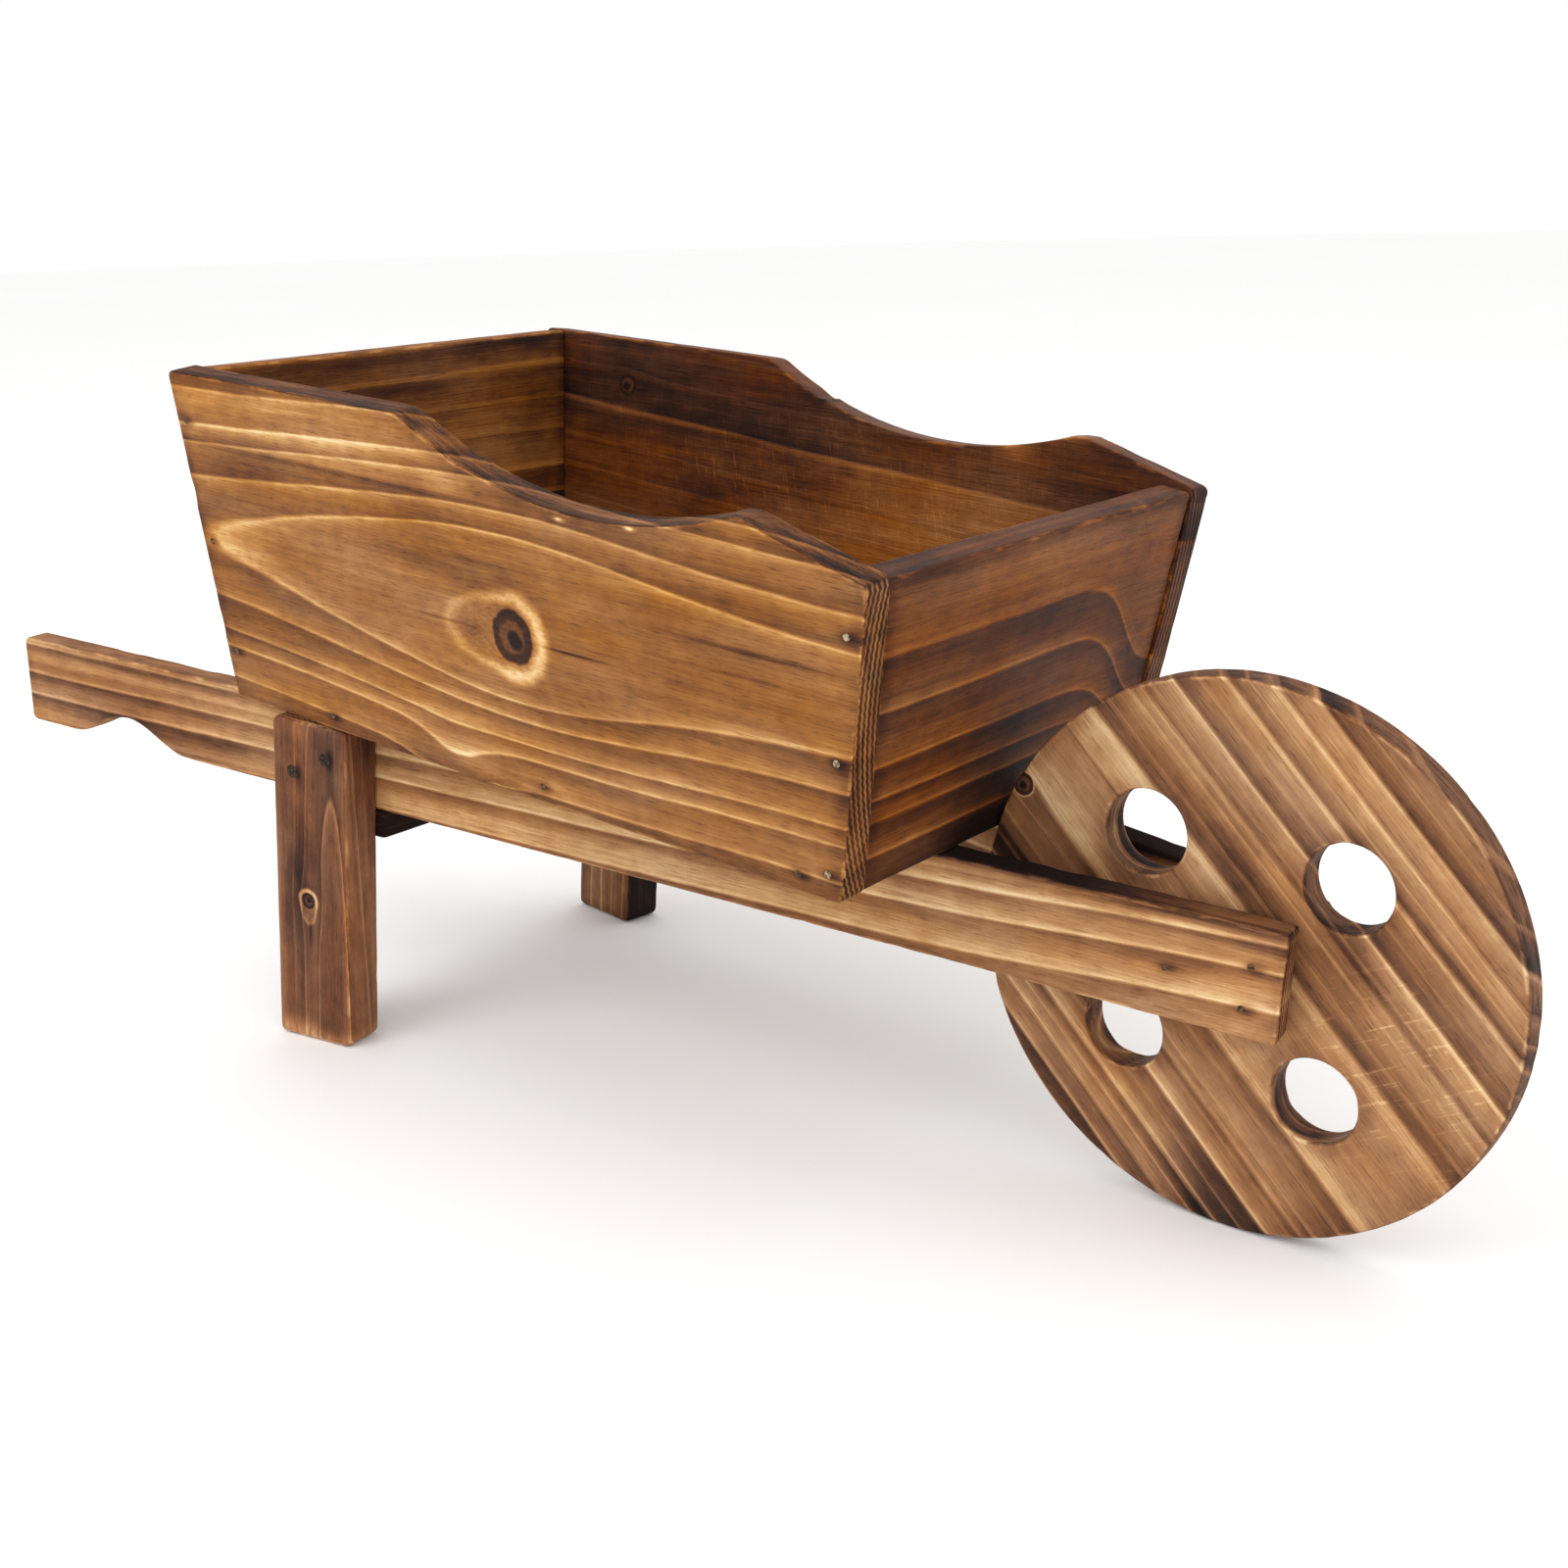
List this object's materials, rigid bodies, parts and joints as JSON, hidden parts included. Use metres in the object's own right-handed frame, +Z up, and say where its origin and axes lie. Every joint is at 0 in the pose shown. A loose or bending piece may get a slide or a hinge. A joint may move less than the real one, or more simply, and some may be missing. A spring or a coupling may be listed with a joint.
{
  "type": "wheelbarrow planter",
  "caption": "Small wooden wheelbarrow planter with a flared, scalloped tray, two converging rails that end in handles, two legs and a solid disc wheel with round holes.",
  "frame": {"origin": "on the ground, under the middle of the length and width, as the barrow stands on its wheel and legs", "axes": "+X forward, from the handles to the wheel; +Y to the left; +Z up"},
  "size_m": [0.621, 0.2074, 0.2689],
  "materials": {
    "tray_wood": "torched softwood, golden brown with dark grain and charred edges, satin",
    "end_wood": "torched softwood, dark red-brown with light grain lines, satin",
    "floor_wood": "torched softwood, mid brown, satin",
    "rail_wood": "torched softwood, light tan with brown stripes and charred edges, satin",
    "leg_wood": "torched softwood, purple-brown with light streaks, satin",
    "brace_wood": "torched softwood, dark brown, satin",
    "wheel_wood": "torched softwood, tan and brown stripes with a charred rim, satin",
    "axle_wood": "plain softwood dowel, dull",
    "nail_steel": "dull bright wire nail, slightly stained",
    "screw_steel": "dull steel screw, browned by the torch"
  },
  "bodies": {
    "frame": {"side_board_right": "tray_wood", "side_board_left": "tray_wood", "front_board": "end_wood", "back_board": "end_wood", "floor_board_right": "floor_wood", "floor_board_left": "floor_wood", "rail_right": "rail_wood", "rail_left": "rail_wood", "leg_right": "leg_wood", "leg_left": "leg_wood", "cross_brace": "brace_wood", "axle": "axle_wood", "front_nails_right": "nail_steel", "front_nails_left": "nail_steel", "back_nails_right": "nail_steel", "back_nails_left": "nail_steel", "floor_nails_right": "nail_steel", "floor_nails_left": "nail_steel", "axle_nails_right": "nail_steel", "axle_nails_left": "nail_steel", "leg_screws_right": "screw_steel", "leg_screws_left": "screw_steel", "tray_screws_right": "screw_steel", "tray_screws_left": "screw_steel", "brace_screws_right": "screw_steel", "brace_screws_left": "screw_steel"},
    "wheel": {"wheel": "wheel_wood"}
  },
  "joints": [
    {"name": "wheel_spin", "type": "hinge", "parent": "frame", "child": "wheel", "pos_m": [0.21852, 0, 0.092], "axis": [0, 1, 0], "continuous": true}
  ]
}
